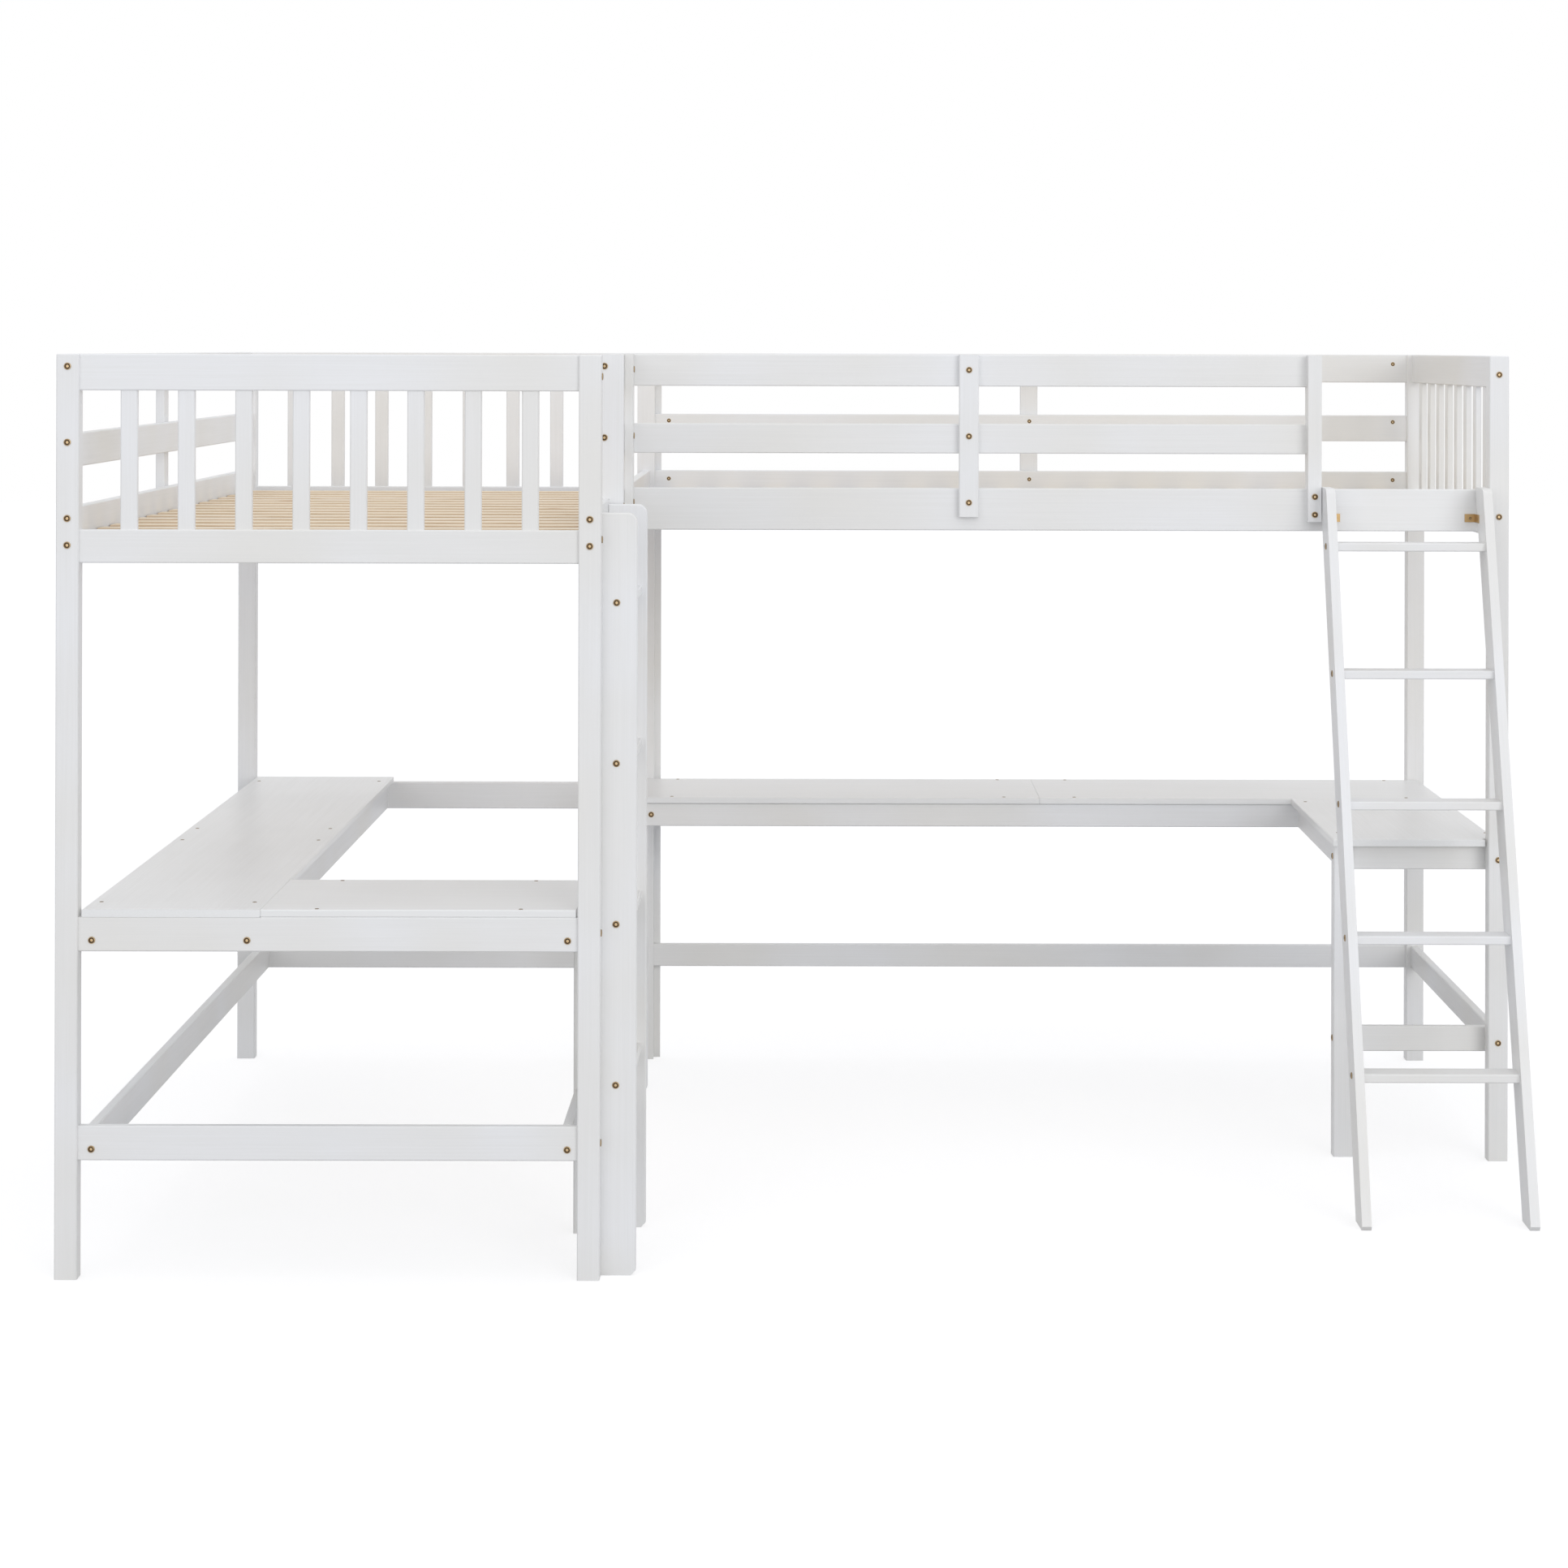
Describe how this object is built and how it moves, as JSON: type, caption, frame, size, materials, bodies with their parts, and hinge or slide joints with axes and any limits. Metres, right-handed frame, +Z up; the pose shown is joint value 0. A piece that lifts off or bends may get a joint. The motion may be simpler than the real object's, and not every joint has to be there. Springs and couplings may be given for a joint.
{
  "type": "L-shaped loft bed",
  "caption": "Two slatted loft beds in an L on shared posts, with guard rails, two ladders and two L-shaped desks underneath.",
  "frame": {"origin": "on the floor, at the middle of the whole outline", "axes": "+X towards the end of the right bed, +Y towards the back, +Z up"},
  "size_m": [3.0364, 2.0158, 1.8],
  "materials": {
    "white_painted_pine": "satin",
    "natural_pine": "satin",
    "antique_brass": "satin",
    "yellow_zinc": "satin"
  },
  "bodies": {
    "root": {"a_back_balusters": "white_painted_pine", "a_back_low_rail": "white_painted_pine", "a_back_top_rail": "white_painted_pine", "a_front_balusters": "white_painted_pine", "a_front_low_rail": "white_painted_pine", "a_front_top_rail": "white_painted_pine", "b_end_balusters": "white_painted_pine", "b_end_low_rail": "white_painted_pine", "b_end_top_rail": "white_painted_pine", "bolts": "antique_brass", "corner_post": "white_painted_pine", "desk_a_back_rail": "white_painted_pine", "desk_a_front_rail": "white_painted_pine", "desk_a_left_rail": "white_painted_pine", "desk_a_leg": "white_painted_pine", "desk_a_long_top": "white_painted_pine", "desk_a_middle_rail": "white_painted_pine", "desk_a_rear_rail": "white_painted_pine", "desk_a_return_top": "white_painted_pine", "desk_a_right_rail": "white_painted_pine", "desk_b_back_rail": "white_painted_pine", "desk_b_front_rail": "white_painted_pine", "desk_b_inner_rail": "white_painted_pine", "desk_b_left_leg": "white_painted_pine", "desk_b_left_rail": "white_painted_pine", "desk_b_leg": "white_painted_pine", "desk_b_long_top": "white_painted_pine", "desk_b_return_top": "white_painted_pine", "desk_b_right_rail": "white_painted_pine", "desk_b_short_rail": "white_painted_pine", "guard_braces": "white_painted_pine", "guard_rails_a_left": "white_painted_pine", "guard_rails_a_right": "white_painted_pine", "guard_rails_b_back": "white_painted_pine", "guard_rails_b_front": "white_painted_pine", "ladder_a_rungs": "white_painted_pine", "ladder_a_stiles": "white_painted_pine", "ladder_b_rungs": "white_painted_pine", "ladder_b_stiles": "white_painted_pine", "ladder_brackets": "yellow_zinc", "low_rail_b_right": "white_painted_pine", "low_rails_a_across": "white_painted_pine", "low_rails_a_along": "white_painted_pine", "low_rails_b_across": "white_painted_pine", "newel_a": "white_painted_pine", "newel_b": "white_painted_pine", "post_a_back_left": "white_painted_pine", "post_a_front_left": "white_painted_pine", "post_a_front_right": "white_painted_pine", "post_b_back_right": "white_painted_pine", "post_b_front_right": "white_painted_pine", "side_rail_a_left": "white_painted_pine", "side_rail_a_right": "white_painted_pine", "side_rail_b_back": "white_painted_pine", "side_rail_b_front": "white_painted_pine", "slat_ledgers_a": "white_painted_pine", "slat_ledgers_b": "white_painted_pine", "slats_a": "natural_pine", "slats_b": "natural_pine"}
  },
  "joints": []
}
